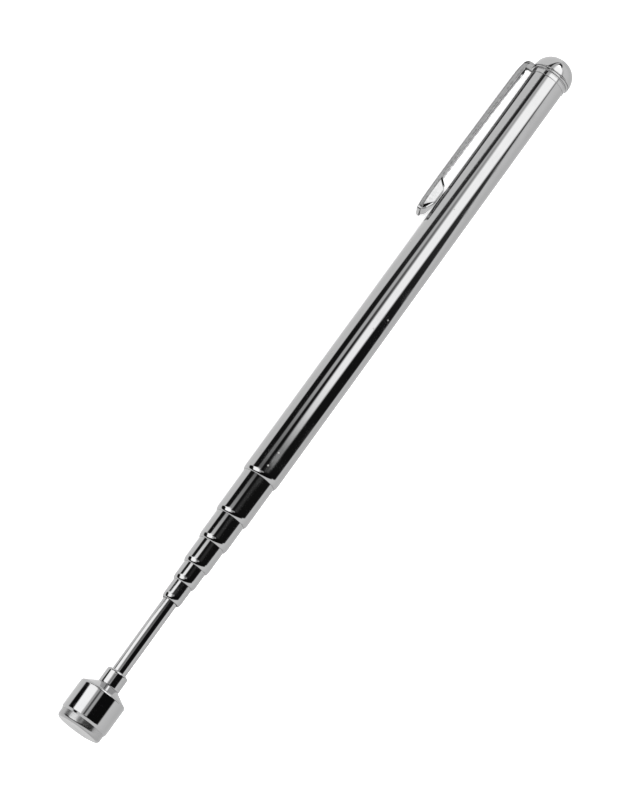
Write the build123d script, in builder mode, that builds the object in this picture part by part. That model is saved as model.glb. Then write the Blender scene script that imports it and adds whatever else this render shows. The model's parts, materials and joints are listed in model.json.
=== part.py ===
from build123d import *

import math
import os

os.makedirs("parts", exist_ok=True)

# A telescopic magnetic pickup tool, lying on its side and pulled a little way out.
# Its axis runs along +X towards the magnet, and its widest piece rests on the plane z = 0.
# Millimetres. Distances along the tool grow from the cap towards the magnet.

# Sections: the barrel, then five tubes, then a rod, each sliding in the one before
barrel_diameter = 7.5
barrel_length = 99.0
tube_wall = 0.22
sleeve_gap = 0.13  # radial room between a tube and the bore it slides in
rod_sleeve_gap = 0.3
running_clearance = 0.03
showing = (9.4, 6.1, 5.4, 3.9, 4.0)  # how far each tube stands out of the one before
rod_showing = 16.5
closed_step = 1.2  # how far each nose stands out of the one before when pushed home
travel_margin = 0.3

# Rolled-in nose at the front of the barrel and of each tube
nose_length = 1.0
nose_drop = 0.24
lip_length = 0.9

# Spring sleeve on the foot of each sliding section, held by a rolled-out bead
sleeve_length = 7.0
sleeve_split = 0.6
bead_length = 0.6

# Cap end: plug in the barrel, collar, clip eyelet and domed cap with its stud
plug_depth = 5.0
plug_boss_diameter = 4.4
collar_length = 1.2
collar_lip = 0.05  # step from the barrel up to the collar's thin end
cap_overhang = 0.45
collar_groove_depth = 0.08
collar_groove_width = 0.2
collar_groove_setback = 0.4  # from the eyelet to the groove's middle
cap_height = 4.25
dome_fullness = 0.5523  # makes the dome's curve a quarter of an ellipse
stud_diameter = 2.4
stud_length = 5.0
stud_hole_clearance = 0.1

# Pocket clip: a folded steel strip
clip_width = 3.7
clip_sheet = 0.35
clip_flange = 0.8
clip_leg_flange = 1.35  # the channel is deeper down the leg
clip_leg_clearance = 0.15  # from the leg's sides down to the bend's root
clip_stand_off = 2.65  # from the barrel to the strip's outer face
clip_bend = 2.0
clip_edge = 0.3
clip_length = 38.9  # from the tip back to the eyelet
tip_length = 2.6
tip_depth = 1.9
tip_round = 1.3
tip_nose_drop = 0.76  # from the strip's face down to the foremost point of the fold
tip_return_slope = 0.25
tongue_reach = 6.5  # from the tip back to where the tongue bears on the barrel
tongue_clearance = 0.12
tongue_end_lean = 2.6
eyelet_rim = 0.15  # how far the eyelet stays inside the cap's edge

# Magnet head
head_diameter = 9.8
head_body_length = 6.4
shoulder_length = 1.6
shoulder_round = 0.5
cup_wall = 0.25
cup_floor = 0.8
magnet_clearance = 0.02
magnet_proud = 1.7
magnet_round = 0.6
pole_plate_thickness = 0.8
rivet_overhang = 0.6  # how far the riveted end spreads past the rod
rivet_head_thickness = 0.6
rivet_pocket_clearance = 0.15
ferrule_length = 3.2
ferrule_wall = 0.75
ferrule_chamfer = 0.35

# Radii of the seven sections, from the barrel to the rod
tube_count = len(showing)
section_radii = [barrel_diameter / 2 - i * (tube_wall + sleeve_gap) for i in range(tube_count + 1)]
bore_radii = [radius - tube_wall for radius in section_radii]
rod_radius = bore_radii[-1] - rod_sleeve_gap
section_radii.append(rod_radius)

barrel_radius = barrel_diameter / 2
head_radius = head_diameter / 2
cap_radius = barrel_radius + cap_overhang
clip_radius = barrel_radius + clip_stand_off
ferrule_radius = rod_radius + ferrule_wall
magnet_radius = head_radius - cup_wall - magnet_clearance

# Places along the tool, with the tool's whole length centred on x = 0
cap_side = cap_height + clip_sheet + collar_length + barrel_length
head_length = ferrule_length + shoulder_length + head_body_length + magnet_proud
head_side = sum(showing) + rod_showing + head_length
mouth_x = (cap_side - head_side) / 2
barrel_end_x = mouth_x - barrel_length
eyelet_front_x = barrel_end_x - collar_length
cap_base_x = eyelet_front_x - clip_sheet
noses_x = [mouth_x + sum(showing[:i]) for i in range(tube_count + 1)]
ferrule_x = noses_x[-1] + rod_showing
shoulder_x = ferrule_x + ferrule_length
head_body_x = shoulder_x + shoulder_length
head_rim_x = head_body_x + head_body_length
cup_floor_x = head_body_x + cup_floor
magnet_back_x = cup_floor_x + pole_plate_thickness
magnet_face_x = head_rim_x + magnet_proud

# The foot of every section stands just clear of the plug when all are pushed home
home_depth = barrel_length - plug_depth - travel_margin
tube_lengths = [home_depth + closed_step * (i + 1) for i in range(tube_count)]
feet_x = [noses_x[i + 1] - tube_lengths[i] for i in range(tube_count)]
rod_foot_x = noses_x[-1] - tube_lengths[-1] + (rod_showing - closed_step)
feet_x.append(rod_foot_x)

# The clip leans down until its edge is as low as the cap, so the tool can't roll
edge_reach = math.hypot(clip_radius - clip_edge, clip_width / 2 - clip_edge)
edge_angle = math.atan2(clip_width / 2 - clip_edge, clip_radius - clip_edge)
clip_lean = math.asin((cap_radius - clip_edge) / edge_reach) - edge_angle
clip_side_reach = edge_reach * math.cos(clip_lean - edge_angle) + clip_edge
axis_y = (clip_side_reach - head_radius) / 2
axis_z = max(head_radius, cap_radius)

tool_axis = Axis((0, axis_y, axis_z), (1, 0, 0))
side_plane = Plane((0, axis_y, axis_z), x_dir=(1, 0, 0), z_dir=(0, -1, 0))
clip_plane = Plane(
    (0, axis_y, axis_z),
    x_dir=(1, 0, 0),
    z_dir=(0, math.sin(clip_lean), -math.cos(clip_lean)),
)
clip_out = clip_plane.y_dir
clip_section = Plane(
    (cap_base_x, axis_y, axis_z), x_dir=clip_out, z_dir=(1, 0, 0)
)
clip_plan = Plane((0, axis_y, axis_z), x_dir=(1, 0, 0), z_dir=clip_out)


def cross_plane(x):
    """The plane across the tool at x, facing the magnet."""
    return Plane((x, axis_y, axis_z), x_dir=(0, 1, 0), z_dir=(1, 0, 0))


def save(piece, name):
    piece.part.label = name
    export_step(piece.part, f"parts/{name}.step")


def rolled_tube(nose_x, radius, bore, next_radius, foot_points):
    """A tube whose front is rolled in to guide the next section."""
    nose_edge = (nose_x, radius - nose_drop)
    nose_root = (nose_x - nose_length, radius)
    guide_radius = next_radius + running_clearance
    with BuildPart() as tube:
        with BuildSketch(side_plane):
            with BuildLine():
                Polyline(
                    nose_root,
                    *foot_points,
                    (nose_x - lip_length, bore),
                    (nose_x - lip_length, guide_radius),
                    (nose_x, guide_radius),
                    nose_edge,
                )
                TangentArc(nose_root, nose_edge, tangent=(1, 0))
            make_face()
        revolve(axis=tool_axis)
    return tube


# Barrel, plain at the cap end
barrel_foot = [(barrel_end_x, barrel_radius), (barrel_end_x, bore_radii[0])]
barrel = rolled_tube(mouth_x, barrel_radius, bore_radii[0], section_radii[1], barrel_foot)
save(barrel, "barrel")

# Tubes, each with a bead at its foot that keeps its spring sleeve on
for i in range(tube_count):
    radius, bore = section_radii[i + 1], bore_radii[i + 1]
    bead_radius = bore_radii[i] - running_clearance
    bead_front_x = feet_x[i] + bead_length
    tube_foot = [
        (bead_front_x, radius),
        (bead_front_x, bead_radius),
        (feet_x[i], bead_radius),
        (feet_x[i], bore),
    ]
    tube = rolled_tube(noses_x[i + 1], radius, bore, section_radii[i + 2], tube_foot)
    save(tube, f"tube_{i + 1}")

# Split spring sleeves, one ahead of each bead, which hold the sections where they are put
for i in range(tube_count + 1):
    sleeve_back_x = feet_x[i] + bead_length
    outer = bore_radii[i] - running_clearance
    inner = section_radii[i + 1]
    with BuildPart() as sleeve:
        with BuildSketch(cross_plane(sleeve_back_x)):
            Circle(outer)
            Circle(inner, mode=Mode.SUBTRACT)
            with Locations((0, (outer + inner) / 2)):
                Rectangle(sleeve_split, 2 * (outer - inner), mode=Mode.SUBTRACT)
        extrude(amount=sleeve_length)
    save(sleeve, f"friction_sleeve_{i + 1}")

# Rod, with a bead at its foot and a riveted-over end inside the magnet head
rivet_back_x = cup_floor_x - rivet_head_thickness
rivet_radius = rod_radius + rivet_overhang
with BuildPart() as tip_rod:
    with BuildSketch(side_plane):
        with BuildLine():
            Polyline(
                (rod_foot_x, 0),
                (rod_foot_x, bore_radii[-1] - running_clearance),
                (rod_foot_x + bead_length, bore_radii[-1] - running_clearance),
                (rod_foot_x + bead_length, rod_radius),
                (rivet_back_x, rod_radius),
                (rivet_back_x, rivet_radius),
                (cup_floor_x, rivet_radius),
                (cup_floor_x, 0),
                close=True,
            )
        make_face()
    revolve(axis=tool_axis)
save(tip_rod, "tip_rod")

# Ferrule crimped on the rod behind the head
with BuildPart() as neck_ferrule:
    with BuildSketch(side_plane):
        with BuildLine():
            Polyline(
                (ferrule_x, rod_radius),
                (ferrule_x, ferrule_radius - ferrule_chamfer),
                (ferrule_x + ferrule_chamfer, ferrule_radius),
                (shoulder_x, ferrule_radius),
                (shoulder_x, rod_radius),
                close=True,
            )
        make_face()
    revolve(axis=tool_axis)
save(neck_ferrule, "neck_ferrule")

# Head: a turned cup with a sloping shoulder, open at the front for the magnet
cup_radius = head_radius - cup_wall
pocket_radius = rivet_radius + rivet_pocket_clearance
with BuildPart() as head_cup:
    with BuildSketch(side_plane):
        with BuildLine():
            Polyline(
                (shoulder_x, rod_radius),
                (shoulder_x, ferrule_radius),
                (head_body_x, head_radius),
                (head_rim_x, head_radius),
                (head_rim_x, cup_radius),
                (cup_floor_x, cup_radius),
                (cup_floor_x, pocket_radius),
                (rivet_back_x, pocket_radius),
                (rivet_back_x, rod_radius),
                close=True,
            )
        make_face()
    revolve(axis=tool_axis)
    # The two full-width circles, at the shoulder's front and at the open rim
    widest = head_cup.edges().filter_by(GeomType.CIRCLE).group_by(SortBy.RADIUS)[-1]
    fillet(widest.sort_by(Axis.X)[0], shoulder_round)
    chamfer(widest.sort_by(Axis.X)[-1], cup_wall / 2)
save(head_cup, "head_cup")

# Steel plate behind the magnet, which turns its field forwards
with BuildPart() as pole_plate:
    with BuildSketch(cross_plane(cup_floor_x)):
        Circle(magnet_radius)
    extrude(amount=pole_plate_thickness)
save(pole_plate, "pole_plate")

# Magnet, standing proud of the cup with a rounded front edge
with BuildPart() as magnet:
    with BuildSketch(cross_plane(magnet_back_x)):
        Circle(magnet_radius)
    extrude(amount=magnet_face_x - magnet_back_x)
    fillet(magnet.faces().sort_by(Axis.X)[-1].edges(), magnet_round)
save(magnet, "magnet")

# Plug pressed into the barrel, with a boss through the collar and a hole for the stud
stud_radius = stud_diameter / 2
boss_radius = plug_boss_diameter / 2
with BuildPart() as barrel_plug:
    with BuildSketch(side_plane):
        with BuildLine():
            Polyline(
                (eyelet_front_x, stud_radius),
                (eyelet_front_x, boss_radius),
                (barrel_end_x, boss_radius),
                (barrel_end_x, bore_radii[0]),
                (barrel_end_x + plug_depth, bore_radii[0]),
                (barrel_end_x + plug_depth, stud_radius),
                close=True,
            )
        make_face()
    revolve(axis=tool_axis)
save(barrel_plug, "barrel_plug")

# Collar between the barrel and the clip, flaring out to the cap's width
groove_x = eyelet_front_x + collar_groove_setback
collar_thin = barrel_radius + collar_lip
with BuildPart() as end_collar:
    with BuildSketch(side_plane):
        with BuildLine():
            Polyline(
                (barrel_end_x, collar_thin),
                (barrel_end_x, boss_radius),
                (eyelet_front_x, boss_radius),
                (eyelet_front_x, cap_radius),
            )
            TangentArc(
                (eyelet_front_x, cap_radius),
                (barrel_end_x, collar_thin),
                tangent=(1, 0),
            )
        make_face()
        with Locations((groove_x, cap_radius)):
            Rectangle(collar_groove_width, 2 * collar_groove_depth, mode=Mode.SUBTRACT)
    revolve(axis=tool_axis)
save(end_collar, "end_collar")

# Domed cap, whose stud holds the clip's eyelet against the collar
with BuildPart() as end_cap:
    with BuildSketch(side_plane):
        with BuildLine():
            Polyline(
                (cap_base_x - cap_height, 0),
                (cap_base_x + stud_length, 0),
                (cap_base_x + stud_length, stud_radius),
                (cap_base_x, stud_radius),
                (cap_base_x, cap_radius),
            )
            Bezier(
                (cap_base_x, cap_radius),
                (cap_base_x - dome_fullness * cap_height, cap_radius),
                (cap_base_x - cap_height, dome_fullness * cap_radius),
                (cap_base_x - cap_height, 0),
            )
        make_face()
    revolve(axis=tool_axis)
save(end_cap, "end_cap")

# Clip foot: the eyelet under the cap, with the root of the strip's bend
bend_root = clip_radius - clip_bend
eyelet_radius = cap_radius - eyelet_rim
with BuildPart() as clip_foot:
    with BuildSketch(clip_section):
        Circle(eyelet_radius)
        with Locations((bend_root / 2, 0)):
            Rectangle(bend_root, clip_width)
        Circle(stud_radius + stud_hole_clearance, mode=Mode.SUBTRACT)
        # The bend starts here, so nothing of the eyelet reaches past its root
        with Locations((bend_root + eyelet_radius, 0)):
            Rectangle(2 * eyelet_radius, 2 * eyelet_radius, mode=Mode.SUBTRACT)
    extrude(amount=clip_sheet)
save(clip_foot, "clip_foot")

# Clip arm: a channel from the bend to the tip, where it folds under into a tongue
tip_x = cap_base_x + clip_length
strip_end_x = cap_base_x + clip_bend
inner_face = clip_radius - clip_sheet
flange_edge = clip_radius - clip_flange
tip_root_x = tip_x - tip_length
tongue_x = tip_x - tongue_reach
tongue_low = barrel_radius + tongue_clearance
tongue_width = clip_width - 2 * (clip_sheet + running_clearance)
tongue_top = inner_face - clip_sheet / 2
with BuildPart() as clip_arm:
    with BuildSketch(clip_plane):
        with BuildLine():
            ThreePointArc(
                (cap_base_x, bend_root),
                (
                    strip_end_x - clip_bend * math.cos(math.pi / 4),
                    bend_root + clip_bend * math.sin(math.pi / 4),
                ),
                (strip_end_x, clip_radius),
            )
            Line((strip_end_x, clip_radius), (tip_root_x, clip_radius))
            Spline(
                (tip_root_x, clip_radius),
                (tip_x, clip_radius - tip_nose_drop),
                (tip_x - tip_length / 2, clip_radius - tip_depth),
                tangents=((1, 0), (-1, -tip_return_slope)),
            )
            Polyline(
                (tip_x - tip_length / 2, clip_radius - tip_depth),
                (tip_root_x, clip_radius - tip_depth),
                (tip_root_x, flange_edge),
                (cap_base_x + clip_leg_flange, flange_edge),
                (cap_base_x + clip_leg_flange, bend_root + clip_leg_clearance),
                (cap_base_x + clip_sheet, bend_root + clip_leg_clearance),
                (cap_base_x + clip_sheet, bend_root),
                (cap_base_x, bend_root),
            )
        make_face()
    extrude(amount=clip_width / 2, both=True)
    # Long edges rounded along the strip, and corners rounded at the tip
    with BuildSketch(clip_section):
        RectangleRounded(2 * clip_radius, clip_width, clip_edge)
    extrude(amount=clip_length, mode=Mode.INTERSECT)
    with BuildSketch(clip_plan):
        with Locations((tip_x - clip_length, 0)):
            RectangleRounded(2 * clip_length, clip_width, tip_round)
    extrude(amount=clip_radius, mode=Mode.INTERSECT)
    # Hollow of the channel, following the inside of the bend
    with BuildSketch(clip_plane):
        with BuildLine():
            ThreePointArc(
                (cap_base_x + clip_sheet, bend_root),
                (
                    strip_end_x - (clip_bend - clip_sheet) * math.cos(math.pi / 4),
                    bend_root + (clip_bend - clip_sheet) * math.sin(math.pi / 4),
                ),
                (strip_end_x, inner_face),
            )
            Polyline(
                (strip_end_x, inner_face),
                (tip_root_x, inner_face),
                (tip_root_x, bend_root),
                (cap_base_x + clip_sheet, bend_root),
            )
        make_face()
    extrude(amount=clip_width / 2 - clip_sheet, both=True, mode=Mode.SUBTRACT)
    # Tongue, whose sides stand up inside the channel
    with BuildSketch(clip_plane):
        with BuildLine():
            Polyline(
                (tip_x - tip_length / 2, clip_radius - tip_depth),
                (tongue_x, tongue_low),
                (tongue_x - tongue_end_lean, flange_edge),
                (tongue_x - tongue_end_lean, tongue_top),
                (tip_x - tip_length / 2, tongue_top),
                close=True,
            )
        make_face()
    extrude(amount=tongue_width / 2, both=True)
save(clip_arm, "clip_arm")
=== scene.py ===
import bpy
import bmesh
import json
import math
from mathutils import Matrix, Vector


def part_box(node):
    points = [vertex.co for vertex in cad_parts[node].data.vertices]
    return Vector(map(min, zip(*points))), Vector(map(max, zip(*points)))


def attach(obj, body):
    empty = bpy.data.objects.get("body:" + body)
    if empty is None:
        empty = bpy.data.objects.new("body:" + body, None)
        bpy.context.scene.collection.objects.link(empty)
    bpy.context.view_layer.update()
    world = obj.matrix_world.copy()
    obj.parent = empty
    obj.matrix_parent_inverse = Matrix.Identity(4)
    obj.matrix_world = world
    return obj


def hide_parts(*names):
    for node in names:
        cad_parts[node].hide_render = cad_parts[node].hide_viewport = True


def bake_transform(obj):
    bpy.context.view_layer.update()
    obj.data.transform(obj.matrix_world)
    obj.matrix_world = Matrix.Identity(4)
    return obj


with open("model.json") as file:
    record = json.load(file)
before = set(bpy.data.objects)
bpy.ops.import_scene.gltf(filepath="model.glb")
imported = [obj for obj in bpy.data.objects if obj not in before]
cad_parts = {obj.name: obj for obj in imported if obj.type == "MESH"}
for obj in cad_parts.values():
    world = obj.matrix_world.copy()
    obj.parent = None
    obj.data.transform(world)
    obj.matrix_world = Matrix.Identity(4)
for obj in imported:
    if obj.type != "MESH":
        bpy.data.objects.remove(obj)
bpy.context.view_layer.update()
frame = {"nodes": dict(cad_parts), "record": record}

mm = 0.001
nodes = frame["nodes"]


# places along the tool and the way the clip faces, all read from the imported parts
def axisPoint(x):
    return Vector((x, axisY, axisZ))


def span(node):
    low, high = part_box(node)
    return low.x, high.x


def radiusAt(node, x, slack=0.02 * mm):  # how far a part reaches from the axis, in the cut at x
    near = [v.co for v in nodes[node].data.vertices if abs(v.co.x - x) < slack]
    return max(math.hypot(co.y - axisY, co.z - axisZ) for co in near)


headLow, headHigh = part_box("head_cup")
axisY = (headLow.y + headHigh.y) / 2
axisZ = (headLow.z + headHigh.z) / 2
clipPoints = [v.co for v in nodes["clip_arm"].data.vertices]
clipMiddle = sum(clipPoints, Vector()) / len(clipPoints)
clipOut = Vector((0, clipMiddle.y - axisY, clipMiddle.z - axisZ)).normalized()


cameraSetting = {
    "lens": 135,
    "sensor": 36,
    "clip": (0.01, 20),      # nearest and farthest seen, in metres
    "distance": 571 * mm,
    "lookBehindMouth": 19.0 * mm,  # along the tool, from the barrel's mouth
    "aside": -0.36 * mm,     # across it
    "towardHead": 15.0,      # degrees off square, towards the magnet
    "towardClip": 16.7,      # degrees off upright, towards the clip
    "toolAngle": 53.99,      # degrees the tool climbs to the right
}


def aimCamera():
    s = cameraSetting
    lean, side = math.radians(s["towardHead"]), math.radians(s["towardClip"])
    upright = Vector((0, -math.sin(side), math.cos(side)))
    back = Vector((math.sin(lean), 0, 0)) + upright * math.cos(lean)
    view = -back
    toCap = Vector((-1, 0, 0))
    toCap = (toCap - view * toCap.dot(view)).normalized()
    across = view.cross(toCap)
    climb = math.radians(s["toolAngle"])
    right = toCap * math.cos(climb) + across * math.sin(climb)
    up = toCap * math.sin(climb) - across * math.cos(climb)
    turned = Matrix((right, up, back)).transposed()
    target = axisPoint(span("barrel")[1] - s["lookBehindMouth"]) + across * s["aside"]
    bpy.ops.object.camera_add(location=target + back * s["distance"])
    camera = bpy.context.active_object
    camera.rotation_euler = turned.to_euler()
    camera.data.lens = s["lens"]
    camera.data.sensor_width = s["sensor"]
    camera.data.clip_start, camera.data.clip_end = s["clip"]
    bpy.context.scene.camera = camera
    return upright


overhead = aimCamera()  # square to the tool, on the side the camera looks from
print("camera placed")


def newNode(tree, kind, **settings):
    made = tree.nodes.new(kind)
    for name, value in settings.items():
        setattr(made, name, value)
    return made


def join(tree, source, target):
    tree.links.new(source, target)


def plug(tree, value, socket):
    if isinstance(value, bpy.types.NodeSocket):
        join(tree, value, socket)
    elif value is not None:
        socket.default_value = value


def sums(tree, operation, first, second=None, third=None, clamp=False):
    made = newNode(tree, "ShaderNodeMath", operation=operation, use_clamp=clamp)
    for value, socket in zip((first, second, third), made.inputs):
        plug(tree, value, socket)
    return made.outputs[0]


def remap(tree, value, lowIn, highIn, lowOut=0.0, highOut=1.0, smooth=False):
    kind = "SMOOTHSTEP" if smooth else "LINEAR"
    made = newNode(tree, "ShaderNodeMapRange", interpolation_type=kind)
    labels = ("Value", "From Min", "From Max", "To Min", "To Max")
    for given, label in zip((value, lowIn, highIn, lowOut, highOut), labels):
        plug(tree, given, made.inputs[label])
    return made.outputs["Result"]


def blendColour(tree, factor, first, second):
    made = newNode(tree, "ShaderNodeMix", data_type="RGBA")
    plug(tree, factor, made.inputs[0])
    plug(tree, first, made.inputs[6])
    plug(tree, second, made.inputs[7])
    return made.outputs[2]


def blendValue(tree, factor, first, second):
    made = newNode(tree, "ShaderNodeMix", data_type="FLOAT")
    plug(tree, factor, made.inputs[0])
    plug(tree, first, made.inputs[2])
    plug(tree, second, made.inputs[3])
    return made.outputs[0]


def noise(tree, vector, scale, detail=None, roughness=None):
    made = newNode(tree, "ShaderNodeTexNoise")
    for label, value in (("Scale", scale), ("Detail", detail), ("Roughness", roughness)):
        plug(tree, value, made.inputs[label])
    join(tree, vector, made.inputs["Vector"])
    return made.outputs["Fac"]


# The studio has white walls, with a dark opening overhead and light boxes in it.
# Angles in degrees: near, far and glow are given at a few angles along the tool, up
# towards the cap. near and far are the panel's edges, as angles round the tool from
# overhead; after and until cut it off along the tool.
studioPanels = {
    "opening": {
        "soft": 8, "after": -43, "until": 80,
        "near": {-42: -72, -20: -96, -10: -100, 6: -104, 8.2: -104, 8.8: -96, 10: -88, 13: -82,
                 17: -78, 19: -68, 22: -55, 48: -45, 56: -22},
        "far": {-42: -12, -30: 2, -18: 20, 4: 58, 6: 62, 9: 60, 10.5: 60, 12: 76, 13.5: 86,
                16.5: 92, 19: 72, 21.5: 49, 23: 45, 48: 38, 56: 16, 62: 30},
        "glow": {6: 0.006, 17: 0.012, 20: 0.05}},
    "headWash": {
        "soft": 6, "after": -12,
        "near": {6: -32, 10: -44},
        "far": {-10: -20, 2: -12, 6: -1, 10: -3},
        "glow": {6: 0.66, 8.3: 0.66, 8.8: 0.30, 9.8: 0.26, 10.3: 0.01, 90: 0.01}},
    "headGap": {
        "soft": 5, "after": 4, "until": 8.4,
        "near": {6: -21},
        "far": {6: -13},
        "glow": {6: 0.10, 8.3: 0.10}},
    "bridge": {
        "soft": 9, "after": 15.5,
        "near": {15: -30, 22: -30},
        "far": {15: -10, 22: -14},
        "glow": {15: 0.02, 17: 0.09, 18.5: 0.24, 20: 0.48, 22: 0.7}},
    "clipSideBox": {
        "soft": 8, "after": -18,
        "near": {-20: -66, 6: -71, 8.2: -73, 8.8: -86, 9.9: -86, 10.3: -62, 12.5: -50, 14: -46,
                 18: -44, 22: -34},
        "far": {-20: -45, -8: -26, 6: -30, 8.4: -31, 9: -42, 10: -42, 10.4: -35, 12.5: -28,
                22: -27},
        "glow": {6: 1.75, 10.8: 1.75, 11.6: 0.9, 12.5: 0.45, 13.4: 0.16, 14.4: 0.42, 15.5: 0.66,
                 18: 0.74, 22: 0.8}},
    "overheadBox": {
        "soft": 13, "after": 12.9, "until": 62,
        "near": {13: -1, 14: -6, 16: -10, 18: -11, 20: -13, 22.5: -17, 48: -17, 56: -10},
        "far": {13: 20, 14: 25, 16: 29, 18: 33, 20: 36, 22.5: 40, 48: 34, 56: 12},
        "glow": {13: 0.2, 13.8: 0.85, 15.6: 1.62, 22: 1.72, 48: 1.8, 56: 3.4}},
    "farCurtain": {
        "soft": 14, "after": 9.8, "until": 13.4,
        "near": {10: -9},
        "far": {10: 12},
        "glow": {10: 0.05}},
}
studioSetting = {
    "wall": 0.95,
    "floorWall": 0.80,       # the walls' light low down
    "wallFade": (60, 130),   # degrees round the tool between the two
    "begin": 2,              # degrees over which a panel starts, along the tool
    "end": 0.5,              # and to each side of where it stops
    "angleRange": 180,       # the farthest edge a curve can hold
    "glowRange": 4,          # and the brightest glow
}


def curveAlong(tree, along, points, low, high):  # a value given at a few angles along the tool
    ramp = newNode(tree, "ShaderNodeValToRGB")
    join(tree, remap(tree, along, -90, 90), ramp.inputs["Fac"])
    stops = ramp.color_ramp.elements
    places = sorted(points.items())
    while len(stops) < len(places):
        stops.new(0.5)
    while len(stops) > len(places):
        stops.remove(stops[-1])
    for stop, (angle, value) in zip(stops, places):
        stop.position = (angle + 90) / 180
        share = (value - low) / (high - low)
        stop.color = (share, share, share, 1)
    return remap(tree, ramp.outputs["Color"], 0, 1, low, high)


def buildStudio():
    s = studioSetting
    world = bpy.data.worlds.new("studio")
    bpy.context.scene.world = world
    world.use_nodes = True
    tree = world.node_tree
    tree.nodes.clear()
    direction = newNode(tree, "ShaderNodeTexCoord").outputs["Generated"]

    def reach(vector):
        made = newNode(tree, "ShaderNodeVectorMath", operation="DOT_PRODUCT")
        join(tree, direction, made.inputs[0])
        made.inputs[1].default_value = vector
        return made.outputs["Value"]

    farSide = Vector((1, 0, 0)).cross(overhead) * -1
    across = sums(tree, "DEGREES", sums(tree, "ARCTAN2", reach(farSide), reach(overhead)))
    along = sums(tree, "DEGREES", sums(tree, "ARCSINE", reach(Vector((-1, 0, 0)))))
    light = remap(tree, across, *s["wallFade"], s["wall"], s["floorWall"], smooth=True)
    for panel in studioPanels.values():
        soft = panel["soft"] / 2
        widest = s["angleRange"]
        near = curveAlong(tree, along, panel["near"], -widest, widest)
        far = curveAlong(tree, along, panel["far"], -widest, widest)
        glow = curveAlong(tree, along, panel["glow"], 0, s["glowRange"])
        mask = remap(tree, sums(tree, "SUBTRACT", across, near), -soft, soft, smooth=True)
        past = remap(tree, sums(tree, "SUBTRACT", far, across), -soft, soft, smooth=True)
        mask = sums(tree, "MULTIPLY", mask, past)
        if "after" in panel:
            begins = remap(tree, along, panel["after"], panel["after"] + s["begin"], smooth=True)
            mask = sums(tree, "MULTIPLY", mask, begins)
        if "until" in panel:
            ends = remap(tree, along, panel["until"] - s["end"], panel["until"] + s["end"], 1, 0,
                         smooth=True)
            mask = sums(tree, "MULTIPLY", mask, ends)
        light = blendValue(tree, mask, light, glow)
    backdrop = newNode(tree, "ShaderNodeBackground")
    join(tree, light, backdrop.inputs["Color"])
    output = newNode(tree, "ShaderNodeOutputWorld")
    join(tree, backdrop.outputs[0], output.inputs["Surface"])
    bpy.context.scene.view_settings.view_transform = "Standard"


buildStudio()


floorSetting = {
    "size": 6.0,
    "colours": ((0.86, 0.86, 0.86, 1), (0.9, 0.9, 0.9, 1)),
    "grain": 40,
    "roughness": 0.9,
    "specular": 0.1,
    "lift": 0.55,            # how much the paper shines by itself
    "lightPower": 14.0,
    "lightSize": 1.2,
    "lightHeight": 1.0,
}


def layFloor():
    s = floorSetting
    bpy.ops.mesh.primitive_plane_add(size=s["size"], location=(0, 0, 0))
    floor = bpy.context.active_object
    floor.name = "studio_floor"
    floor.visible_glossy = False  # the chrome shows the studio's walls all round
    material = bpy.data.materials.new("floorPaper")
    material.use_nodes = True
    tree = material.node_tree
    shader = tree.nodes["Principled BSDF"]
    shader.inputs["Roughness"].default_value = s["roughness"]
    shader.inputs["Specular IOR Level"].default_value = s["specular"]
    shader.inputs["Emission Color"].default_value = (1, 1, 1, 1)
    shader.inputs["Emission Strength"].default_value = s["lift"]
    place = newNode(tree, "ShaderNodeTexCoord").outputs["Object"]
    tint = blendColour(tree, noise(tree, place, s["grain"]), *s["colours"])
    join(tree, tint, shader.inputs["Base Color"])
    floor.data.materials.append(material)
    bpy.ops.object.light_add(type="AREA", location=(0, 0, s["lightHeight"]))
    lamp = bpy.context.active_object
    lamp.name = "soft_light"
    lamp.data.shape = "DISK"
    lamp.data.size = s["lightSize"]
    lamp.data.energy = s["lightPower"]
    lamp.visible_glossy = False
    lamp.visible_camera = False


layFloor()
print("studio and floor ready")


def startGroup(name, inputs, outputs):
    group = bpy.data.node_groups.new(name, "ShaderNodeTree")
    for label, kind, value in inputs:
        made = group.interface.new_socket(name=label, in_out="INPUT", socket_type=kind)
        made.default_value = value
    for label, kind in outputs:
        group.interface.new_socket(name=label, in_out="OUTPUT", socket_type=kind)
    return group, newNode(group, "NodeGroupInput"), newNode(group, "NodeGroupOutput")


handlingSetting = {
    "smearScale": 170, "smearDetail": 6, "smearRoughness": 0.62,
    "smearRange": (0.48, 0.72),  # the noise between which a smear grows from none to full
    "smearTint": 0.10,
    "speckScale": 620, "speckEdge": (0.05, 0.16), "speckRarity": 0.93,
    "speckColour": (0.62, 0.61, 0.59, 1), "speckDull": 0.4,
    "edgeRange": (0.53, 0.62),   # how sharp an edge must be to wear
    "chipScale": 1500, "chipRange": (0.42, 0.6),
    "edgeDull": 0.22,
}


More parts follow.
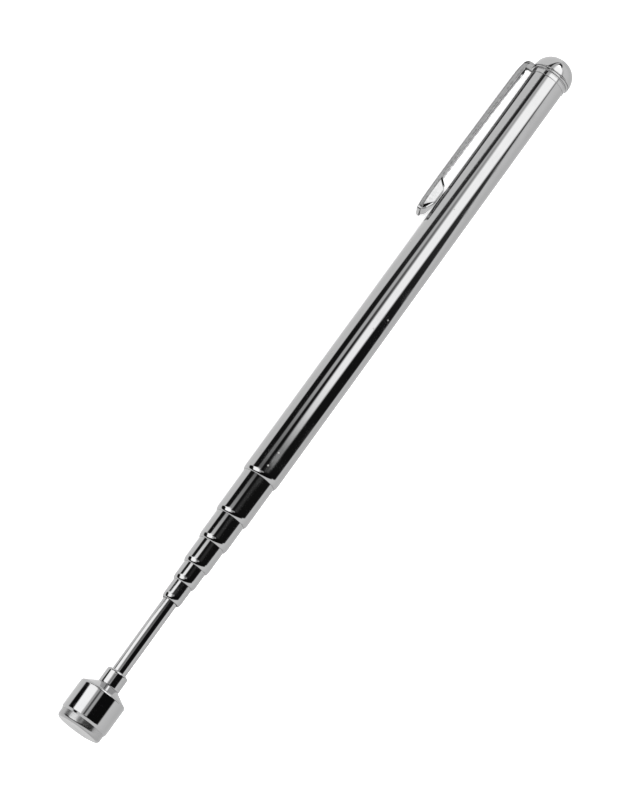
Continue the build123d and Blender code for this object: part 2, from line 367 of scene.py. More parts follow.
def makeHandling():  # haze, specks of dust and worn edges, from hands and pockets
    s = handlingSetting
    group, given, made = startGroup(
        "handling",
        [("Vector", "NodeSocketVector", (0, 0, 0)),
         ("Plate", "NodeSocketColor", (0.5, 0.5, 0.5, 1)),
         ("Worn", "NodeSocketColor", (0.4, 0.4, 0.4, 1)),
         ("Gloss", "NodeSocketFloat", 0.04),
         ("Haze", "NodeSocketFloat", 0.05),
         ("Specks", "NodeSocketFloat", 0.5),
         ("Edge Wear", "NodeSocketFloat", 0.5)],
        [("Color", "NodeSocketColor"), ("Roughness", "NodeSocketFloat")])
    place = given.outputs["Vector"]
    smear = noise(group, place, s["smearScale"], s["smearDetail"], s["smearRoughness"])
    hazy = remap(group, smear, *s["smearRange"], smooth=True)
    dots = newNode(group, "ShaderNodeTexVoronoi")
    dots.inputs["Scale"].default_value = s["speckScale"]
    join(group, place, dots.inputs["Vector"])
    speck = remap(group, dots.outputs["Distance"], *s["speckEdge"], 1, 0, smooth=True)
    chosen = newNode(group, "ShaderNodeSeparateColor")
    join(group, dots.outputs["Color"], chosen.inputs[0])
    rare = sums(group, "GREATER_THAN", chosen.outputs[0], s["speckRarity"])
    speck = sums(group, "MULTIPLY", sums(group, "MULTIPLY", speck, rare), given.outputs["Specks"])
    bend = newNode(group, "ShaderNodeNewGeometry").outputs["Pointiness"]
    edge = remap(group, bend, *s["edgeRange"], smooth=True)
    chips = remap(group, noise(group, place, s["chipScale"]), *s["chipRange"], smooth=True)
    edge = sums(group, "MULTIPLY", edge, chips)
    edge = sums(group, "MULTIPLY", edge, given.outputs["Edge Wear"])
    plate, worn = given.outputs["Plate"], given.outputs["Worn"]
    tint = blendColour(group, sums(group, "MULTIPLY", hazy, s["smearTint"]), plate, worn)
    tint = blendColour(group, edge, tint, worn)
    tint = blendColour(group, speck, tint, s["speckColour"])
    dull = sums(group, "MULTIPLY_ADD", hazy, given.outputs["Haze"], given.outputs["Gloss"])
    dull = sums(group, "MULTIPLY_ADD", edge, s["edgeDull"], dull)
    dull = sums(group, "MULTIPLY_ADD", speck, s["speckDull"], dull, clamp=True)
    join(group, tint, made.inputs["Color"])
    join(group, dull, made.inputs["Roughness"])
    return group


toolLineSetting = {"fineScale": 1.0, "fineDetail": 3, "broadScale": 0.12, "broadDetail": 2}


def makeToolLines():  # fine lines left by drawing or turning, as a height
    s = toolLineSetting
    group, given, made = startGroup(
        "toolLines",
        [("Vector", "NodeSocketVector", (0, 0, 0)),
         ("Fine", "NodeSocketFloat", 0.5),
         ("Waviness", "NodeSocketFloat", 0.5)],
        [("Height", "NodeSocketFloat")])
    place = given.outputs["Vector"]
    fine = noise(group, place, s["fineScale"], s["fineDetail"])
    broad = noise(group, place, s["broadScale"], s["broadDetail"])
    height = sums(group, "MULTIPLY", fine, given.outputs["Fine"])
    height = sums(group, "MULTIPLY_ADD", broad, given.outputs["Waviness"], height)
    join(group, height, made.inputs["Height"])
    return group


handling = makeHandling()
toolLines = makeToolLines()

# lines: how often the tool lines repeat in a metre, along the tool and then across it
finishes = {
    "barrel_chrome": {
        "plate": 0.50, "worn": 0.36, "gloss": 0.035, "haze": 0.05, "specks": 0.9, "wear": 0.5,
        "lines": (25, 2200, 2200), "fine": 0.5, "wavy": 1.5, "bump": 0.10},
    "tube_chrome": {
        "plate": 0.50, "worn": 0.36, "gloss": 0.035, "haze": 0.06, "specks": 0.7, "wear": 0.5,
        "lines": (60, 2600, 2600), "fine": 0.7, "wavy": 1.2, "bump": 0.10},
    "rod_chrome": {
        "plate": 0.50, "worn": 0.36, "gloss": 0.035, "haze": 0.05, "specks": 0.5, "wear": 0.4,
        "lines": (60, 2600, 2600), "fine": 0.6, "wavy": 1.0, "bump": 0.08},
    "cap_chrome": {
        "plate": 0.52, "worn": 0.36, "gloss": 0.04, "haze": 0.06, "specks": 0.6, "wear": 0.6,
        "lines": (2600, 300, 300), "fine": 0.6, "wavy": 1.5, "bump": 0.10},
    "clip_chrome": {
        "plate": 0.50, "worn": 0.36, "gloss": 0.07, "haze": 0.08, "specks": 0.6, "wear": 0.6,
        "lines": (120, 1500, 1500), "fine": 0.7, "wavy": 2.2, "bump": 0.22},
    "head_chrome": {
        "plate": 0.50, "worn": 0.36, "gloss": 0.035, "haze": 0.05, "specks": 0.6, "wear": 0.5,
        "lines": (2600, 260, 260), "fine": 0.5, "wavy": 1.4, "bump": 0.06},
    "magnet_nickel": {
        "plate": 0.45, "worn": 0.34, "gloss": 0.19, "haze": 0.10, "specks": 0.7, "wear": 0.6,
        "lines": (1800, 1800, 1800), "fine": 0.8, "wavy": 1.4, "bump": 0.16},
    "plug_brass": {
        "plate": (0.72, 0.52, 0.24), "worn": (0.5, 0.34, 0.16),
        "gloss": 0.22, "haze": 0.15, "specks": 0.3, "wear": 0.3,
        "lines": (2200, 300, 300), "fine": 1.0, "wavy": 0.8, "bump": 0.3},
    "sleeve_brass": {
        "plate": (0.66, 0.45, 0.24), "worn": (0.46, 0.30, 0.16),
        "gloss": 0.25, "haze": 0.15, "specks": 0.2, "wear": 0.4,
        "lines": (90, 2400, 2400), "fine": 1.0, "wavy": 0.8, "bump": 0.3},
    "plate_steel": {
        "plate": 0.42, "worn": 0.30, "gloss": 0.3, "haze": 0.15, "specks": 0.3, "wear": 0.4,
        "lines": (300, 2400, 300), "fine": 1.0, "wavy": 0.8, "bump": 0.3},
}
lineHeight = 0.01 * mm
chromeBlue = 1.005           # a grey plate is this much bluer than grey


def plateColour(value):
    return (*value, 1) if isinstance(value, tuple) else (value, value, value * chromeBlue, 1)


def makeFinish(name):
    s = finishes[name]
    material = bpy.data.materials.new(name)
    material.use_nodes = True
    tree = material.node_tree
    shader = tree.nodes["Principled BSDF"]
    shader.inputs["Metallic"].default_value = 1
    place = newNode(tree, "ShaderNodeTexCoord").outputs["Object"]
    centred = newNode(tree, "ShaderNodeMapping")
    centred.inputs["Location"].default_value = (0, -axisY, -axisZ)
    join(tree, place, centred.inputs["Vector"])
    marks = newNode(tree, "ShaderNodeGroup", node_tree=handling)
    join(tree, centred.outputs[0], marks.inputs["Vector"])
    for label, value in (("Plate", plateColour(s["plate"])), ("Worn", plateColour(s["worn"])),
                         ("Gloss", s["gloss"]), ("Haze", s["haze"]), ("Specks", s["specks"]),
                         ("Edge Wear", s["wear"])):
        marks.inputs[label].default_value = value
    join(tree, marks.outputs["Color"], shader.inputs["Base Color"])
    join(tree, marks.outputs["Roughness"], shader.inputs["Roughness"])
    stretched = newNode(tree, "ShaderNodeMapping")
    stretched.inputs["Scale"].default_value = s["lines"]
    join(tree, centred.outputs[0], stretched.inputs["Vector"])
    lines = newNode(tree, "ShaderNodeGroup", node_tree=toolLines)
    join(tree, stretched.outputs[0], lines.inputs["Vector"])
    lines.inputs["Fine"].default_value = s["fine"]
    lines.inputs["Waviness"].default_value = s["wavy"]
    bump = newNode(tree, "ShaderNodeBump")
    bump.inputs["Strength"].default_value = s["bump"]
    bump.inputs["Distance"].default_value = lineHeight
    join(tree, lines.outputs["Height"], bump.inputs["Height"])
    join(tree, bump.outputs["Normal"], shader.inputs["Normal"])
    return material


finishMade = {name: makeFinish(name) for name in finishes}
for part in frame["record"]["subparts"]:
    node = nodes[part["node"]]
    node.data.materials.clear()
    node.data.materials.append(finishMade[part["material_slot"]])
print("finishes ready")


def deselect():
    if bpy.context.mode != "OBJECT":
        bpy.ops.object.mode_set(mode="OBJECT")
    bpy.ops.object.select_all(action="DESELECT")


def settle(piece, name, slotName, body, replaced=()):
    piece.name = name
    piece.data.name = name
    piece.data.materials.clear()
    piece.data.materials.append(finishMade[slotName])
    if body:                 # the pocket clip has none
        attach(piece, body)
    if replaced:
        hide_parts(*replaced)


turning = {
    "sides": 128,
    "pointRadius": 0.01 * mm,   # a closed end starts as a ring this small
    "endWithin": 0.001 * mm,
    "mergeWithin": 0.0004 * mm,
    "smoothUnder": math.radians(40),
}


def turnRings(outline, sides=turning["sides"], closed=False):
    # extrudes a ring along the axis through stations of (x, radius); radius 0 closes an end
    deselect()
    smallest = turning["pointRadius"]
    x, radius = outline[0]
    bpy.ops.mesh.primitive_circle_add(vertices=sides, radius=max(radius, smallest),
                                      fill_type="NOTHING", location=axisPoint(x),
                                      rotation=(0, math.pi / 2, 0))
    piece = bpy.context.active_object
    bpy.ops.object.transform_apply(location=True, rotation=True, scale=True)
    bpy.ops.object.mode_set(mode="EDIT")
    bpy.ops.mesh.select_all(action="SELECT")
    if radius <= 0:
        extrudeBy((0, 0, 0))
    radius = max(radius, smallest)
    for nextX, nextRadius in outline[1:] + (outline[:1] if closed else []):
        wanted = max(nextRadius, smallest)
        extrudeBy((nextX - x, 0, 0))
        share = wanted / radius
        bpy.ops.transform.resize(value=(1, share, share), center_override=axisPoint(nextX))
        x, radius = nextX, wanted
    if not closed:
        for endX, endRadius in (outline[0], outline[-1]):
            if endRadius <= 0:
                closeEnd(piece, endX)
    bpy.ops.mesh.select_all(action="SELECT")
    bpy.ops.mesh.remove_doubles(threshold=turning["mergeWithin"])
    bpy.ops.mesh.normals_make_consistent(inside=False)
    bpy.ops.object.mode_set(mode="OBJECT")
    bpy.ops.object.shade_smooth_by_angle(angle=turning["smoothUnder"])
    return piece


def extrudeBy(move):
    bpy.ops.mesh.extrude_region_move(TRANSFORM_OT_translate={"value": move})


def closeEnd(piece, x):  # gathers the small ring at x into one point
    near = turning["pointRadius"] * 2
    pick(piece, "verts", lambda v: math.hypot(v.co.y - axisY, v.co.z - axisZ) < near
         and abs(v.co.x - x) < turning["endWithin"])
    bpy.ops.mesh.merge(type="CENTER")


def pick(piece, kind, test):  # selects what passes the test, in edit mode, and nothing else
    mesh = bmesh.from_edit_mesh(piece.data)
    bpy.ops.mesh.select_mode(type={"verts": "VERT", "edges": "EDGE"}[kind])
    bpy.ops.mesh.select_all(action="DESELECT")
    for item in getattr(mesh, kind):
        item.select_set(bool(test(item)))
    bmesh.update_edit_mesh(piece.data)


def quarter(fromX, fromRadius, toX, toRadius, steps=8, levelFirst=True):
    # stations along a quarter ellipse, which sets out level with the axis or square to it
    points = []
    for i in range(1, steps + 1):
        turn = math.pi / 2 * i / steps
        level, square = 1 - math.cos(turn), math.sin(turn)
        rise, run = (level, square) if levelFirst else (square, level)
        points.append((fromX + (toX - fromX) * run, fromRadius + (toRadius - fromRadius) * rise))
    return points


tubeSetting = {
    "noseLength": 1.0 * mm,
    "noseDrop": 0.30 * mm,
    "noseSteps": 10,
    "lipLength": 0.9 * mm,
    "lipThinner": 0.02 * mm,
    "wall": 0.22 * mm,
    "guard": 0.25 * mm,      # plain ring beside each curve, so that the long walls stay straight
    "beadLength": 0.6 * mm,
    "beadLeast": 0.01 * mm,  # a foot that stands out by less has no bead
}


def turnTube(node, body, slotName):
    s = tubeSetting
    foot, nose = span(node)
    root = nose - s["noseLength"]
    radius = radiusAt(node, root)
    bore = radius - s["wall"]
    guide = radius - s["noseDrop"] - s["lipThinner"]
    footRadius = radiusAt(node, foot)
    outline = [(foot, bore), (foot, footRadius)]
    if footRadius > radius + s["beadLeast"]:
        beadFront = foot + s["beadLength"]
        outline += [(beadFront, footRadius), (beadFront, radius), (beadFront + s["guard"], radius)]
    else:
        outline += [(foot + s["guard"], radius)]
    outline += [(root - s["guard"], radius), (root, radius)]
    outline += quarter(root, radius, nose, radius - s["noseDrop"], steps=s["noseSteps"])
    lip = nose - s["lipLength"]
    outline += [(nose, guide), (lip, guide), (lip, bore), (foot + s["guard"], bore)]
    settle(turnRings(outline, closed=True), node + "_finished", slotName, body, [node])


turnTube("barrel", "barrel_body", "barrel_chrome")
for number in range(1, 6):
    turnTube(f"tube_{number}", f"section_{number}", "tube_chrome")
print("barrel and tubes turned")


headSetting = {
    "sides": 160,
    "guard": 0.15 * mm,      # plain ring beside each curve
    "rimBevel": (0.46 * mm, 0.24 * mm),   # length and depth of the slope at the cup's rim
    "rimBack": 0.125 * mm,   # how far behind the rim the cup is measured
    "rimCut": 0.01 * mm,     # and how near that cut its points are
    # shares of the bevel's length where it has rings, and how far its slope lags behind them
    "bevelRings": (0.04, 0.10, 0.16, 0.84, 0.92),
    "bevelLag": 0.02,
    "shoulderRound": 0.5 * mm,
    "shoulderLength": 1.6 * mm,
    "shoulderSteps": 8,
    "backRound": (0.02 * mm, 0.03 * mm),
    "cupWall": 0.25 * mm,
    "pocketLip": 0.3 * mm,
    "plateDepth": 0.8 * mm,  # behind the magnet
    "rivetDepth": 1.4 * mm,
    "rivetLength": 0.6 * mm,
    "rivetOverhang": 0.6 * mm,
    "rivetRoom": 0.15 * mm,
}
magnetSetting = {
    "edgeRound": 0.62 * mm,
    "edgeSteps": 10,
    "backRound": 0.1 * mm,
    "faceDish": 0.03 * mm,
    "dishFrom": 0.55,        # of its radius
}
ferruleSetting = {
    "sides": 96,
    "chamfer": 0.35 * mm,
    "chamferSteps": 6,
    "frontRound": (0.06 * mm, 0.05 * mm),
}
rodSetting = {
    "sides": 96,
    "beadLength": 0.6 * mm,
    "beadRound": 0.08 * mm,
    "beadGuard": 0.4 * mm,
}


def turnHead(neck, rodRadius):
    s = headSetting
    guard = s["guard"]
    back, rim = span("head_cup")
    widest = radiusAt("head_cup", rim - s["rimBack"], s["rimCut"])
    shoulder = back + s["shoulderLength"]
    slope = math.atan2(widest - neck, s["shoulderLength"])
    rounded = s["shoulderRound"]
    tangent = rounded * math.tan(slope / 2)
    ahead = tangent + guard * 0.5  # the slope's guard ring is half as far off as the others
    outline = [(back, rodRadius), (back, neck - s["backRound"][1]),
               (back + s["backRound"][0], neck),
               (shoulder - ahead * math.cos(slope), widest - ahead * math.sin(slope))]
    for i in range(s["shoulderSteps"] + 1):
        turn = slope * (1 - i / s["shoulderSteps"])
        outline.append((shoulder + tangent - rounded * math.sin(turn),
                        widest - rounded + rounded * math.cos(turn)))
    bevelLength, bevelDepth = s["rimBevel"]
    bevelStart = rim - bevelLength
    outline += [(shoulder + tangent + guard, widest), (bevelStart - guard, widest),
                (bevelStart, widest)]
    for share in s["bevelRings"]:
        outline.append((bevelStart + bevelLength * share,
                        widest - bevelDepth * (share - s["bevelLag"])))
    outline.append((rim, widest - bevelDepth))
    pocket, rivet = widest - s["cupWall"], rodRadius + s["rivetOverhang"] + s["rivetRoom"]
    plateBack = span("magnet")[0] - s["plateDepth"]
    rivetBack = span("magnet")[0] - s["rivetDepth"]
    outline += [(rim, pocket), (rim - s["pocketLip"], pocket), (plateBack, pocket),
                (plateBack, rivet), (rivetBack, rivet), (rivetBack, rodRadius)]
    piece = turnRings(outline, sides=s["sides"], closed=True)
    settle(piece, "head_cup_finished", "head_chrome", "rod_and_head", ["head_cup"])


def turnMagnet():
    s = magnetSetting
    start, face = span("magnet")
    radius = radiusAt("magnet", start)
    flat, flatRadius = face - s["edgeRound"], radius - s["edgeRound"]
    guard = headSetting["guard"]
    outline = [(start, 0), (start, radius - s["backRound"]), (start + s["backRound"], radius),
               (flat - guard, radius), (flat, radius)]
    outline += quarter(flat, radius, face, flatRadius, steps=s["edgeSteps"])
    dish = face - s["faceDish"]
    outline += [(face, flatRadius - guard), (dish, radius * s["dishFrom"]), (dish, 0)]
    piece = turnRings(outline, sides=headSetting["sides"])
    settle(piece, "magnet_finished", "magnet_nickel", "rod_and_head", ["magnet"])


def turnFerrule(neck, rodRadius):
    s = ferruleSetting
    start, end = span("neck_ferrule")
    chamfer, guard = s["chamfer"], headSetting["guard"]
    outline = [(start, rodRadius), (start, neck - chamfer)]
    outline += quarter(start, neck - chamfer, start + chamfer, neck, steps=s["chamferSteps"],
                       levelFirst=False)
    outline += [(start + chamfer + guard, neck), (end - guard, neck),
                (end - s["frontRound"][0], neck), (end, neck - s["frontRound"][1]),
                (end, rodRadius)]
    piece = turnRings(outline, sides=s["sides"], closed=True)
    settle(piece, "neck_ferrule_finished", "head_chrome", "rod_and_head", ["neck_ferrule"])


def turnRod(rodRadius):
    s = rodSetting
    foot, tip = span("tip_rod")
    beadRadius, beadFront = radiusAt("tip_rod", foot), foot + s["beadLength"]
    rivetBack = tip - headSetting["rivetLength"]
    rivetRadius = rodRadius + headSetting["rivetOverhang"]
    outline = [(foot, 0), (foot, beadRadius - s["beadRound"]), (foot + s["beadRound"], beadRadius),
               (beadFront, beadRadius), (beadFront, rodRadius),
               (beadFront + s["beadGuard"], rodRadius),
               (rivetBack - headSetting["guard"], rodRadius), (rivetBack, rodRadius),
               (rivetBack, rivetRadius), (tip, rivetRadius), (tip, 0)]
    piece = turnRings(outline, sides=s["sides"])
    settle(piece, "tip_rod_finished", "rod_chrome", "rod_and_head", ["tip_rod"])


neckRadius = radiusAt("neck_ferrule", span("head_cup")[0])
rivetRadius = radiusAt("tip_rod", span("tip_rod")[1] - headSetting["rivetLength"])
thinRadius = rivetRadius - headSetting["rivetOverhang"]
turnHead(neckRadius, thinRadius)
turnMagnet()
turnFerrule(neckRadius, thinRadius)
turnRod(thinRadius)
print("head and rod turned")


collarSetting = {
    "frontRound": (0.14 * mm, 0.04 * mm),
    "frontSteps": 5,
    "wider": 0.04 * mm,      # than the cap end of the solid one, all along
    "grooveBack": 0.4 * mm,
    "grooveDepth": 0.08 * mm,
    "grooveWidth": 0.2 * mm,
    "grooveSlope": 0.05 * mm,
    "grooveGuard": 0.03 * mm,
    "capEnd": (0.08 * mm, 0.05 * mm),  # where the last two rings stand, before the cap
}
capSetting = {
    "sides": 160,
    "baseRound": 0.12 * mm,
    "baseSteps": 5,
    "domeSteps": 40,
    "bluntness": 2.12,       # 2 is an ellipse, and more is blunter
    "studRound": 0.2 * mm,
    "cutWithin": 0.03 * mm,  # of a place, when its radius is read
}


def turnCollar():
    s = collarSetting
    start, end = span("clip_foot")[1], span("end_collar")[1]
    frontLength, frontDepth = s["frontRound"]
    wide = radiusAt("end_collar", start) - frontDepth
    narrow = radiusAt("end_collar", end)
    straight = narrow + s["wider"]
    bore = radiusAt("barrel_plug", start)
    outline = [(start, bore), (start, wide)]
    outline += quarter(start, wide, start + frontLength, straight, steps=s["frontSteps"])
    grooveStart = start + s["grooveBack"] - s["grooveWidth"] / 2
    grooveEnd = grooveStart + s["grooveWidth"]
    floor = straight - s["grooveDepth"]
    outline += [(grooveStart - s["grooveGuard"], straight), (grooveStart, straight),
                (grooveStart + s["grooveSlope"], floor), (grooveEnd - s["grooveSlope"], floor),
                (grooveEnd, straight), (grooveEnd + s["grooveGuard"], straight)]
    outline += [(end - before, straight) for before in s["capEnd"]]
    outline += [(end, narrow), (end, bore)]
    piece = turnRings(outline, closed=True)
    settle(piece, "end_collar_finished", "cap_chrome", "barrel_body", ["end_collar"])


def turnCap():
    s = capSetting
    back, studEnd = span("end_cap")
    rim = span("clip_foot")[0]
    stud = radiusAt("end_cap", studEnd)
    base = radiusAt("end_cap", rim, s["cutWithin"])
    rounded = s["baseRound"]
    outline = [(studEnd, 0), (studEnd, stud - s["studRound"]), (studEnd - s["studRound"], stud),
               (rim, stud), (rim, base - rounded)]
    outline += quarter(rim, base - rounded, rim - rounded, base, steps=s["baseSteps"],
                       levelFirst=False)
    height = rim - rounded - back
    for i in range(1, s["domeSteps"]):
        turn = math.pi / 2 * i / s["domeSteps"]
        along = math.sin(turn) ** (2 / s["bluntness"])
        across = math.cos(turn) ** (2 / s["bluntness"])
        outline.append((rim - rounded - height * along, base * across))
    outline.append((back, 0))
    piece = turnRings(outline, sides=s["sides"])
    settle(piece, "end_cap_finished", "cap_chrome", "barrel_body", ["end_cap"])


turnCollar()
turnCap()
print("cap and collar turned")


clipSetting = {
    "width": 3.7 * mm,
    "sheet": 0.35 * mm,
    "flange": 0.8 * mm,
    "legFlange": 0.42 * mm,
    # towards the bend: how far before the eyelet, how far the strip has sunk, how deep its
    # sides are; the bend itself comes last
    "approach": ((24, 0, 0.85), (12, 0.08, 0.95), (6, 0.13, 1.05), (3.6, 0.17, 1.1),
                 (2.9, 0.20, 1.1), (2.3, 0.26, 1.1), (1.8, 0.34, 1.05), (1.3, 0.42, 0.9)),
    "bend": 1.3 * mm,
    "bendSteps": 12,
    "edgeRound": 0.2 * mm,
    "edgeSteps": 7,
    "edgeBreak": 0.05 * mm,
    "legEnd": 3.85 * mm,     # how near the axis the leg comes
    "blend": (0.35 * mm, 3.2 * mm),  # from the eyelet, where it starts and stops flexing
    # the nose, from its end: how far back, how far below the outer face its sides start and
    # stop, and its share of the width
    "nose": ((0, 0.52, 0.96, 0.84), (0.03, 0.43, 1.03, 0.88), (0.08, 0.37, 1.08, 0.91),
             (0.16, 0.32, 1.12, 0.94), (0.3, 0.27, 1.16, 0.97), (0.5, 0.22, 1.14, 0.99),
             (0.8, 0.18, 1.08, 1), (1.4, 0.12, 0.95, 1), (2.4, 0.06, 0.84, 1),
             (4.0, 0.02, 0.8, 1), (6.5, 0, 0.8, 1)),
    "noseSetback": 0.3 * mm,
    "splay": 0.10 * mm,      # how far each side stands out at its edge
}
clipClose = 0.005 * mm       # points nearer than this are in the same place
clipSharp = math.radians(50)  # an edge that turns by more gets broken


def leanClip(piece):  # turns a piece made with the clip straight up to where the clip leans
    lean = Vector((0, 0, 1)).rotation_difference(clipOut).to_matrix().to_4x4()
    piece.data.transform(Matrix.Translation(axisPoint(0)) @ lean)
    piece.data.update()


def sizeAndEdit(piece, size):  # gives a new primitive its size, and opens it in edit mode
    piece.scale = size
    bpy.ops.object.transform_apply(location=True, rotation=True, scale=True)
    bpy.ops.object.mode_set(mode="EDIT")


def applyModifier(piece, kind, **values):
    bpy.ops.object.modifier_add(type=kind)
    modifier = piece.modifiers[-1]
    for name, value in values.items():
        setattr(modifier, name, value)
    bpy.ops.object.modifier_apply(modifier=modifier.name)


def faceOut(piece, outermost, wanted):  # turns every face, if the outermost one looks the wrong way
    bpy.ops.mesh.select_all(action="SELECT")
    bpy.ops.mesh.normals_make_consistent(inside=False)
    face = max(bmesh.from_edit_mesh(piece.data).faces, key=outermost)
    if face.normal.z * wanted < 0:
        bpy.ops.mesh.flip_normals()


def thicken(piece, sheet, edgeBreak, steps=2):  # gives an open sheet its thickness, inwards
    bpy.ops.object.mode_set(mode="OBJECT")
    bpy.ops.object.shade_smooth()
    applyModifier(piece, "SOLIDIFY", thickness=sheet, offset=-1)
    applyModifier(piece, "BEVEL", width=edgeBreak, segments=steps, limit_method="ANGLE",
                  angle_limit=clipSharp, harden_normals=True)


def thinSection(piece, centre, share):
    # draws the selected section's sides in towards its outer face, seen from the bend's centre
    mesh = bmesh.from_edit_mesh(piece.data)
    chosen = [v for v in mesh.verts if v.select]
    out = [(v.co - centre) * Vector((1, 0, 1)) for v in chosen]
    farthest = max(zip(out, chosen), key=lambda pair: pair[0].length - abs(pair[1].co.y))[0]
    away = farthest.normalized()
    reach = max((v.co - centre).dot(away) for v in chosen)
    for vertex in chosen:
        below = reach - (vertex.co - centre).dot(away)
        vertex.co += away * below * (1 - share)
    bmesh.update_edit_mesh(piece.data)


def drawOutline(tip, outer, edge):  # the channel's cut across: open below, with rounded shoulders
    s = clipSetting
    deselect()
    bpy.ops.mesh.primitive_plane_add(size=1, location=(tip, 0, (outer + edge) / 2),
                                     rotation=(0, math.pi / 2, 0))
    piece = bpy.context.active_object
    sizeAndEdit(piece, (s["flange"], s["width"], 1))
    pick(piece, "verts", lambda v: v.co.z < edge + clipClose)
    splay = 1 + 2 * s["splay"] / s["width"]
    bpy.ops.transform.resize(value=(1, splay, 1), center_override=(tip, 0, edge))
    pick(piece, "verts", lambda v: v.co.z > outer - clipClose)
    bpy.ops.mesh.bevel(offset=s["edgeRound"], segments=s["edgeSteps"], affect="VERTICES")
    bpy.ops.mesh.select_all(action="SELECT")
    bpy.ops.mesh.delete(type="ONLY_FACE")
    pick(piece, "edges", lambda e: all(v.co.z < edge + clipClose for v in e.verts))
    bpy.ops.mesh.delete(type="EDGE")
    bpy.ops.mesh.select_all(action="SELECT")
    return piece


def foldClip():
    s = clipSetting
    root, tip = span("clip_foot")[0], span("clip_arm")[1] - s["noseSetback"]
    outer = max((co - axisPoint(co.x)).dot(clipOut) for co in clipPoints)
    edge = outer - s["flange"]
    piece = drawOutline(tip, outer, edge)
    x, top, bottom, share = tip, 0, s["flange"], 1
    for back, newTop, newBottom, newShare in s["nose"]:
        newTop, newBottom = newTop * mm, newBottom * mm
        if back:
            extrudeBy((tip - back * mm - x, 0, 0))
        x = tip - back * mm
        stretch = (newBottom - newTop) / (bottom - top)
        bpy.ops.transform.resize(value=(1, newShare / share, stretch),
                                 center_override=(x, 0, outer - bottom))
        bpy.ops.transform.translate(value=(0, 0, bottom - newBottom))
        top, bottom, share = newTop, newBottom, newShare
    sunk, depth = 0, s["flange"]
    for before, drop, newDepth in s["approach"]:
        extrudeBy((root + before * mm - x, 0, sunk - drop * mm))
        x, sunk = root + before * mm, drop * mm
        bpy.ops.transform.resize(value=(1, 1, newDepth * mm / depth),
                                 center_override=(x, 0, outer - sunk))
        depth = newDepth * mm
    shallower = (s["legFlange"] / depth) ** (1 / s["bendSteps"])
    centre = Vector((root + s["bend"], 0, outer - sunk - s["bend"]))
    for _ in range(s["bendSteps"]):
        extrudeBy((0, 0, 0))
        thinSection(piece, centre, shallower)
        bpy.ops.transform.rotate(value=math.pi / 2 / s["bendSteps"], orient_axis="Y",
                                 center_override=centre)
    extrudeBy((0, 0, s["legEnd"] - centre.z))
    pick(piece, "verts", lambda v: v.co.x > tip - clipClose)
    bpy.ops.mesh.edge_face_add()
    bpy.ops.mesh.select_all(action="SELECT")
    bpy.ops.mesh.remove_doubles(threshold=turning["mergeWithin"])
    faceOut(piece, lambda f: f.calc_center_median().z, 1)
    thicken(piece, s["sheet"], s["edgeBreak"])
    leanClip(piece)
    settle(piece, "pocket_clip", "clip_chrome", None, ["clip_arm", "clip_foot"])
    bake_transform(piece)
    return tip, outer, edge


clipTip, clipOuter, clipEdge = foldClip()
print("clip folded")


tongueSetting = {
    "width": 3.3 * mm,
    "sheet": 0.35 * mm,
    "clearance": 0.03 * mm,
    "start": (0.14 * mm, 1.06 * mm),  # how far back from the nose, and below the outer face
    # then how far back, and how far above the barrel: down, along it and up into the channel
    "run": ((0.85 * mm, 0.84 * mm), (3.3 * mm, 0.06 * mm), (6.4 * mm, 0.03 * mm),
            (8.6 * mm, 1.85 * mm)),
    "narrowing": 0.7,        # of its width, where it bears
    "cornerRound": 0.5 * mm,
    "cornerSteps": 6,
    "cornerWithin": 0.002 * mm,
    "edgeBreak": 0.08 * mm,
    "edgeSteps": 3,
}
earSetting = {
    "thick": 0.3 * mm,
    "inset": 0.2 * mm,
    "lean": 0.45 * mm,       # how far the ears come in at the barrel
    "round": 0.5 * mm,
    "roundSteps": 6,
    "acrossLeast": 0.1 * mm,  # an edge that spans more goes from side to side
    "frontBack": 0.2 * mm,   # how far back of the fold the upper front corner is
    "intoChannel": 0.3 * mm,
    "backShort": 0.5 * mm,   # how far before the tongue's rise the lower edge ends
    "aboveTongue": (0.8, 0.6),  # front and back, in thicknesses of the tongue's sheet
    "edgeBreak": 0.05 * mm,
}


def foldTongue(places, rest):  # the strip's folded-back end, which bears on the barrel
    s = tongueSetting
    deselect()
    (startX, startZ), *others = places
    stub = 0.2 * mm          # a short strip to fold from, which is then cut off
    bpy.ops.mesh.primitive_plane_add(size=1, location=(startX, 0, startZ))
    piece = bpy.context.active_object
    sizeAndEdit(piece, (2 * stub, s["width"], 1))
    pick(piece, "verts", lambda v: v.co.x > startX)
    bpy.ops.mesh.delete(type="VERT")
    bpy.ops.mesh.select_all(action="SELECT")
    at = Vector((startX - stub, 0, startZ))
    for x, z in others:
        move = Vector((x, 0, z)) - at
        extrudeBy(move)
        at += move
    corners = [x for x, z in others[:-1]]
    near = s["cornerWithin"]
    pick(piece, "edges",
         lambda e: all(min(abs(v.co.x - x) for x in corners) < near for v in e.verts))
    bpy.ops.mesh.bevel(offset=s["cornerRound"], segments=s["cornerSteps"], affect="EDGES")
    lowX = others[1][0]
    pick(piece, "verts", lambda v: v.co.x < lowX + s["cornerRound"])
    bpy.ops.transform.resize(value=(1, s["narrowing"], 1), center_override=(lowX, 0, rest))
    faceOut(piece, lambda f: -f.calc_center_median().z, -1)
    thicken(piece, s["sheet"], s["edgeBreak"], steps=s["edgeSteps"])
    leanClip(piece)
    settle(piece, "clip_tongue", "clip_chrome", "clip_spring")


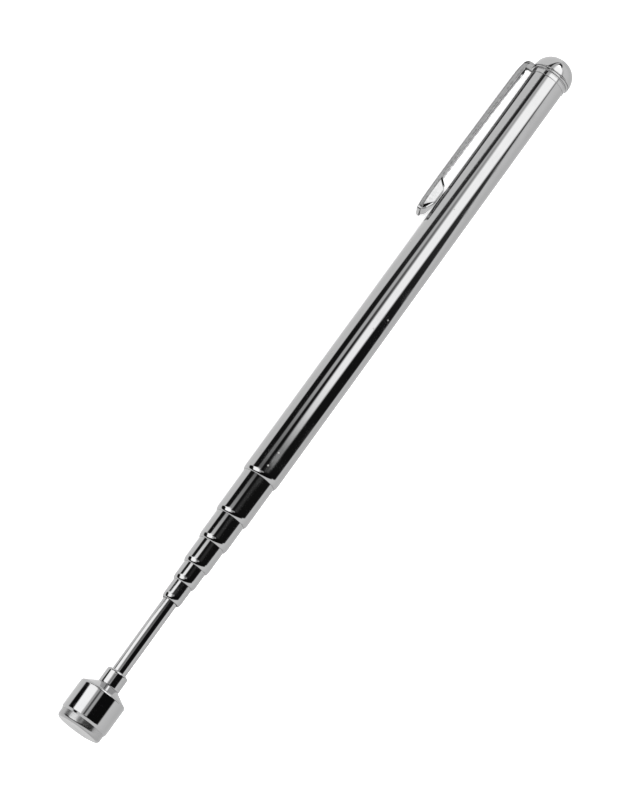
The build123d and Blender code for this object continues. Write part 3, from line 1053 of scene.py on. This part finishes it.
def cutEar(places, side, name):  # stiffens the tongue at one side
    s = earSetting
    deselect()
    (frontX, _), (bendX, _), (lowX, lowZ), (backX, _) = places[1:]
    middleX, middleZ = (frontX + backX) / 2, (clipEdge + lowZ) / 2
    bpy.ops.mesh.primitive_cube_add(
        size=1, location=(middleX, side * (tongueSetting["width"] / 2 - s["inset"]), middleZ))
    ear = bpy.context.active_object
    sizeAndEdit(ear, (frontX - backX, s["thick"], clipEdge - lowZ))
    lean = -side * s["lean"]
    lowFront, lowBack = (share * tongueSetting["sheet"] for share in s["aboveTongue"])
    corners = ((True, True, (-s["frontBack"], 0, s["intoChannel"])),
               (True, False, (0, 0, s["intoChannel"])),
               (False, True, (bendX - frontX, lean, lowFront)),
               (False, False, (lowX - s["backShort"] - backX, lean, lowBack)))
    for high, front, move in corners:
        pick(ear, "verts", lambda v: (v.co.z > middleZ) == high and (v.co.x > middleX) == front)
        bpy.ops.transform.translate(value=move)
    pick(ear, "edges",
         lambda e: abs(e.verts[0].co.y - e.verts[1].co.y) > s["acrossLeast"]
         and e.verts[0].co.x < middleX)
    bpy.ops.mesh.bevel(offset=s["round"], segments=s["roundSteps"], affect="EDGES")
    bpy.ops.object.mode_set(mode="OBJECT")
    bpy.ops.object.shade_smooth()
    applyModifier(ear, "BEVEL", width=s["edgeBreak"], segments=2, harden_normals=True)
    leanClip(ear)
    settle(ear, name, "clip_chrome", "clip_spring")


barrelTop = radiusAt("barrel", span("barrel")[0]) + tongueSetting["clearance"]
startBack, startBelow = tongueSetting["start"]
foldPlaces = [(clipTip - startBack, clipOuter - startBelow)]
foldPlaces += [(clipTip - back, barrelTop + rise) for back, rise in tongueSetting["run"]]
foldTongue(foldPlaces, barrelTop)
cutEar(foldPlaces, -1, "clip_ear_left")
cutEar(foldPlaces, 1, "clip_ear_right")


eyeletSetting = {
    "hole": 1.3 * mm,
    "edgeRound": 0.08 * mm,
    "insideCap": 0.15 * mm,  # at least this far in from the cap's rim
    "cutWithin": 0.03 * mm,
}


def turnEyelet():  # the clip's ring, held under the cap
    s = eyeletSetting
    back, front = span("clip_foot")
    radius = min(radiusAt("clip_foot", back, s["cutWithin"]),
                 radiusAt("end_cap", back, s["cutWithin"]) - s["insideCap"])
    soft = s["edgeRound"]
    outline = [(back, s["hole"]), (back, radius - soft), (back + soft, radius),
               (front - soft, radius), (front, radius - soft), (front, s["hole"])]
    settle(turnRings(outline, closed=True), "clip_eyelet", "clip_chrome", "barrel_body")


turnEyelet()
print("tongue and eyelet made")

deselect()
